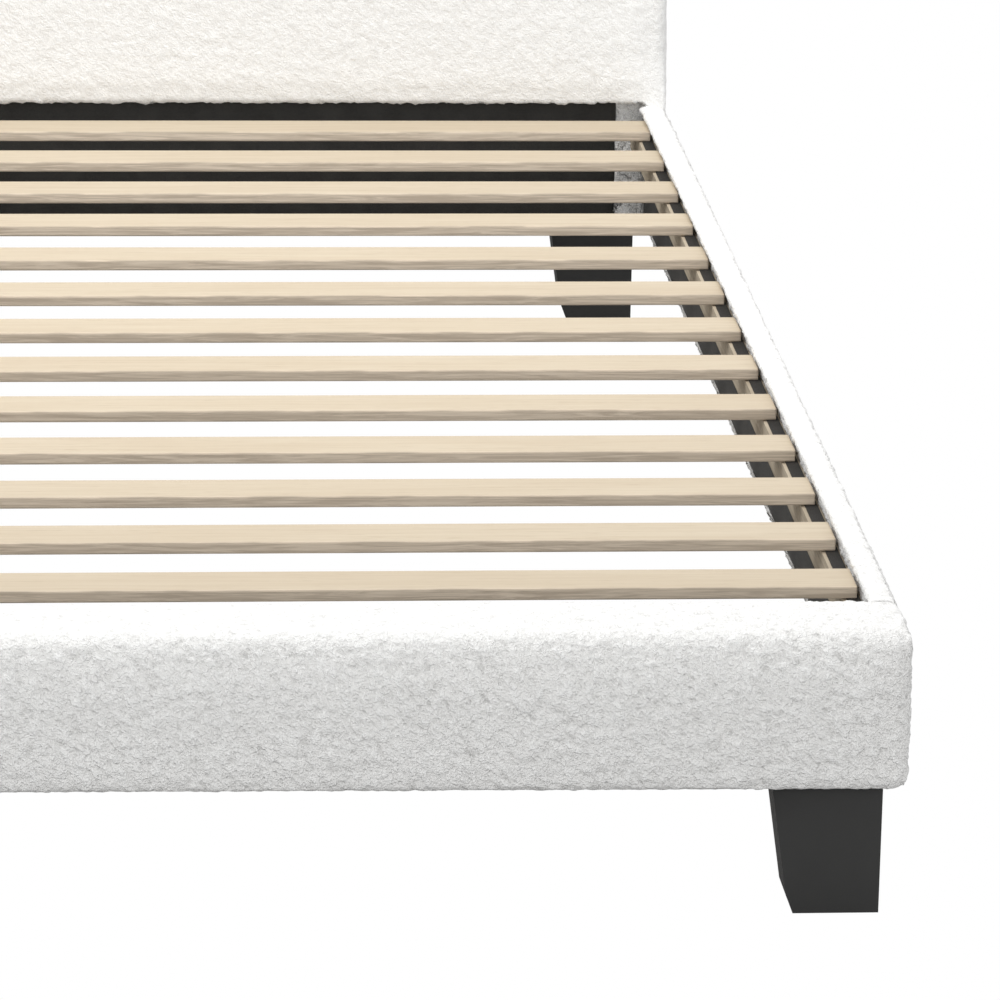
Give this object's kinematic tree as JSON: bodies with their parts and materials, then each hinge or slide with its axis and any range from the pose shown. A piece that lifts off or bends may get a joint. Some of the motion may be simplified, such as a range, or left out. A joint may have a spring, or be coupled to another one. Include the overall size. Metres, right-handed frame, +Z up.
{
  "type": "upholstered headboard bed",
  "caption": "Upholstered bed frame with a padded headboard, box foot rail, slim padded side rails, flat wooden slats on a centre beam and tapered black legs.",
  "frame": {"origin": "on the floor, under the middle of the bed's footprint", "axes": "+X to the right seen from the foot end, +Y from the foot rail towards the headboard, +Z up"},
  "size_m": [1.86, 2.22, 0.9],
  "materials": {
    "boucle": "matt looped boucle",
    "foam": "open-cell polyurethane foam",
    "board": "raw plywood and particle board",
    "timber": "planed softwood",
    "lining": "black non-woven lining",
    "hook_tape": "black hook and loop tape with a diagonal weave",
    "black_steel": "black powder coat",
    "leg_black": "matt black lacquer on solid wood",
    "centre_leg_black": "matt moulded plastic",
    "zinc_steel": "zinc plated",
    "slat_wood": "sanded pale poplar or birch with a fine grain"
  },
  "bodies": {
    "root": {"headboard_cover": "boucle", "foot_rail_cover": "boucle", "side_rail_cover_left": "boucle", "side_rail_cover_right": "boucle", "headboard_foam": "foam", "foot_rail_foam": "foam", "headboard_face_board": "board", "foot_rail_box": "board", "side_rail_board_left": "board", "side_rail_board_right": "board", "headboard_stile_left": "timber", "headboard_stile_right": "timber", "headboard_crossrails": "timber", "ledger_left": "timber", "ledger_right": "timber", "centre_beam": "timber", "headboard_lower_lining": "lining", "headboard_back_lining": "lining", "foot_rail_lining": "lining", "side_rail_lining_left": "lining", "side_rail_lining_right": "lining", "hook_tapes": "hook_tape", "beam_seats": "black_steel", "leg_front_left": "leg_black", "leg_front_right": "leg_black", "leg_head_left": "leg_black", "leg_head_right": "leg_black", "centre_leg_1": "centre_leg_black", "centre_leg_2": "centre_leg_black", "centre_leg_3": "centre_leg_black", "rail_hooks": "zinc_steel", "leg_bolts": "zinc_steel", "centre_leg_studs": "zinc_steel", "wood_screws": "zinc_steel", "slat_left_01": "slat_wood", "slat_left_02": "slat_wood", "slat_left_03": "slat_wood", "slat_left_04": "slat_wood", "slat_left_05": "slat_wood", "slat_left_06": "slat_wood", "slat_left_07": "slat_wood", "slat_left_08": "slat_wood", "slat_left_09": "slat_wood", "slat_left_10": "slat_wood", "slat_left_11": "slat_wood", "slat_left_12": "slat_wood", "slat_left_13": "slat_wood", "slat_right_01": "slat_wood", "slat_right_02": "slat_wood", "slat_right_03": "slat_wood", "slat_right_04": "slat_wood", "slat_right_05": "slat_wood", "slat_right_06": "slat_wood", "slat_right_07": "slat_wood", "slat_right_08": "slat_wood", "slat_right_09": "slat_wood", "slat_right_10": "slat_wood", "slat_right_11": "slat_wood", "slat_right_12": "slat_wood", "slat_right_13": "slat_wood"}
  },
  "joints": []
}
